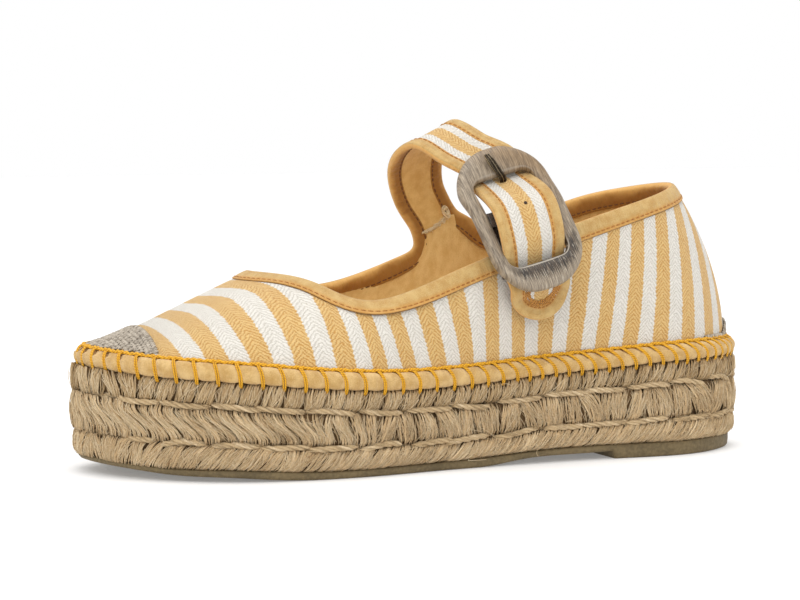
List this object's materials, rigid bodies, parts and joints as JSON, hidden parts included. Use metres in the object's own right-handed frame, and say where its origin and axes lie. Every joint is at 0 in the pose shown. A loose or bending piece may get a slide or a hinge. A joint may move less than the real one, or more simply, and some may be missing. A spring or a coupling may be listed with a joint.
{
  "type": "mary jane shoe",
  "caption": "Platform espadrille mary jane: striped canvas upper, stacked jute sole with stitched canvas band, strap through a large rectangular horn-look buckle.",
  "frame": {"origin": "centre of the bounding box in plan, on the plane the sole stands on", "axes": "toe to -X, heel to +X, outer (buckle) side to -Y, up +Z"},
  "size_m": [0.2571, 0.0946, 0.1234],
  "materials": {
    "rubber": "matt olive-brown moulded rubber",
    "jute": "rough plaited jute fibre",
    "jute_cord": "thin twisted jute cord",
    "band_canvas": "yellow cotton canvas with blanket stitch",
    "striped_canvas": "herringbone canvas striped yellow and off-white",
    "tape": "yellow cotton tape, stitched",
    "lining": "yellow-beige cotton",
    "knit": "grey-taupe knitted cotton",
    "horn": "brushed horn look, low sheen",
    "dark_metal": "dark bronze, low sheen",
    "dark_webbing": "dark brown woven tape"
  },
  "bodies": {
    "root": {"outsole": "rubber", "jute_row_bottom": "jute", "jute_row_middle": "jute", "jute_row_top": "jute", "jute_cord_lower": "jute_cord", "jute_cord_upper": "jute_cord", "foxing_band": "band_canvas", "insole": "lining", "upper": "striped_canvas", "toe_patch": "knit", "heel_patch": "knit", "collar_binding": "tape", "strap": "striped_canvas", "buckle_frame": "horn", "buckle_pin": "dark_metal", "buckle_prong": "dark_metal", "buckle_tab": "dark_webbing"}
  },
  "joints": []
}
